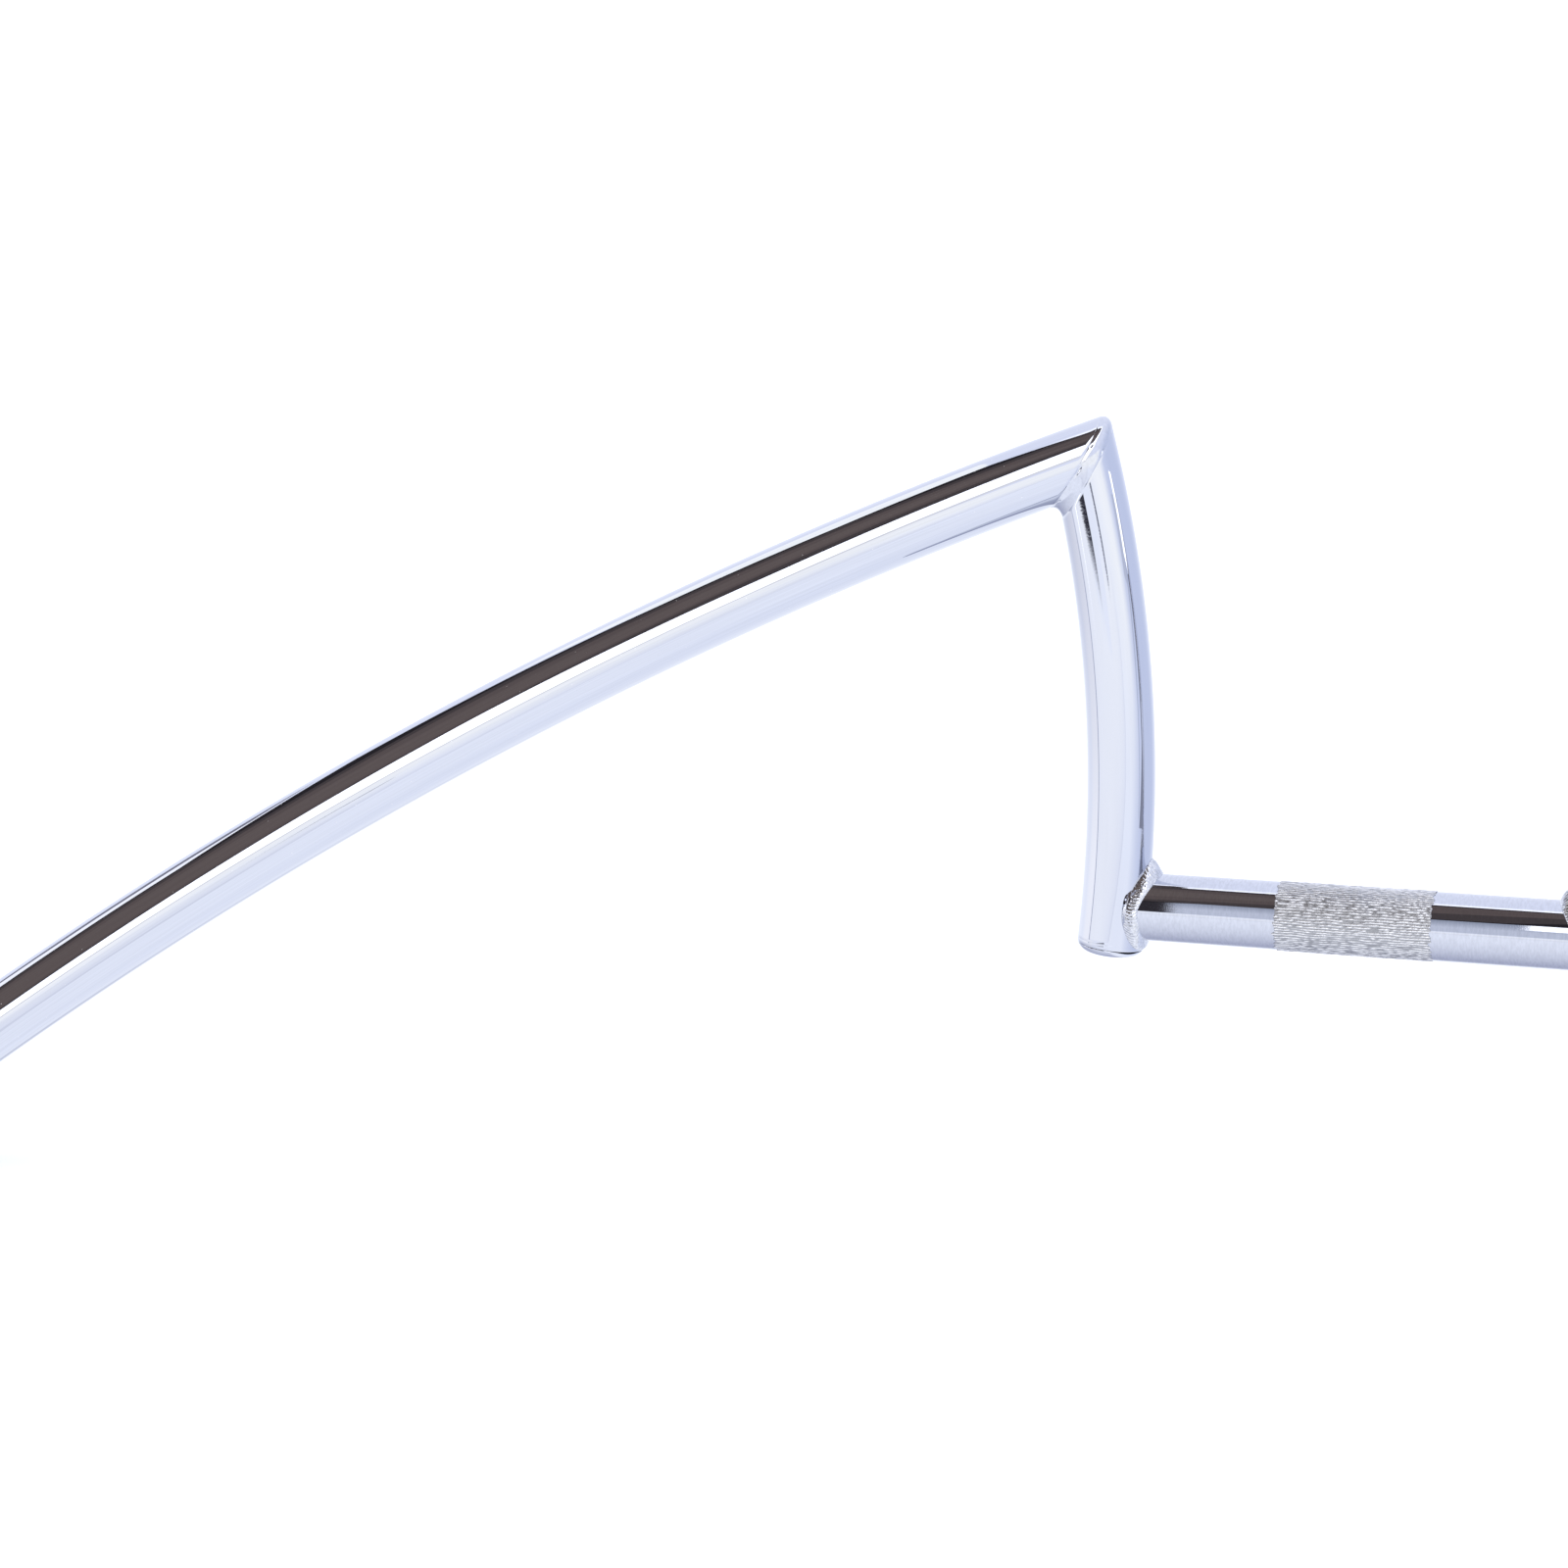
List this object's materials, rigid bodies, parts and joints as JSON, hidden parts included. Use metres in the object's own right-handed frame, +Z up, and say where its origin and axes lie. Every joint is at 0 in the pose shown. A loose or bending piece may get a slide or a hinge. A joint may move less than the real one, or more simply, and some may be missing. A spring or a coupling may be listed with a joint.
{
  "type": "motorcycle handlebar",
  "caption": "Chromed gull-wing motorcycle handlebar: knurled clamp tube, bowed risers with capped ends, mitred corners and long arched handle tubes swept back and down.",
  "frame": {"origin": "middle of the knurled clamp tube, on its centreline", "axes": "+X to the rider's right along the clamp tube, +Y forward, away from the rider, +Z up along the risers"},
  "size_m": [0.943, 0.1789, 0.2407],
  "materials": {
    "tube_chrome": "polished chrome plate",
    "knurled_chrome": "chrome plate, knurled band in the middle",
    "weld_bead": "chrome plate over a rippled weld bead",
    "ground_weld": "chrome plate over a ground weld"
  },
  "bodies": {
    "root": {"clamp_tube": "knurled_chrome", "left_riser_tube": "tube_chrome", "left_handle_tube": "tube_chrome", "left_riser_cap": "tube_chrome", "left_cap_weld": "ground_weld", "left_mitre_weld": "ground_weld", "left_clamp_weld": "weld_bead", "right_riser_tube": "tube_chrome", "right_handle_tube": "tube_chrome", "right_riser_cap": "tube_chrome", "right_cap_weld": "ground_weld", "right_mitre_weld": "ground_weld", "right_clamp_weld": "weld_bead"}
  },
  "joints": []
}
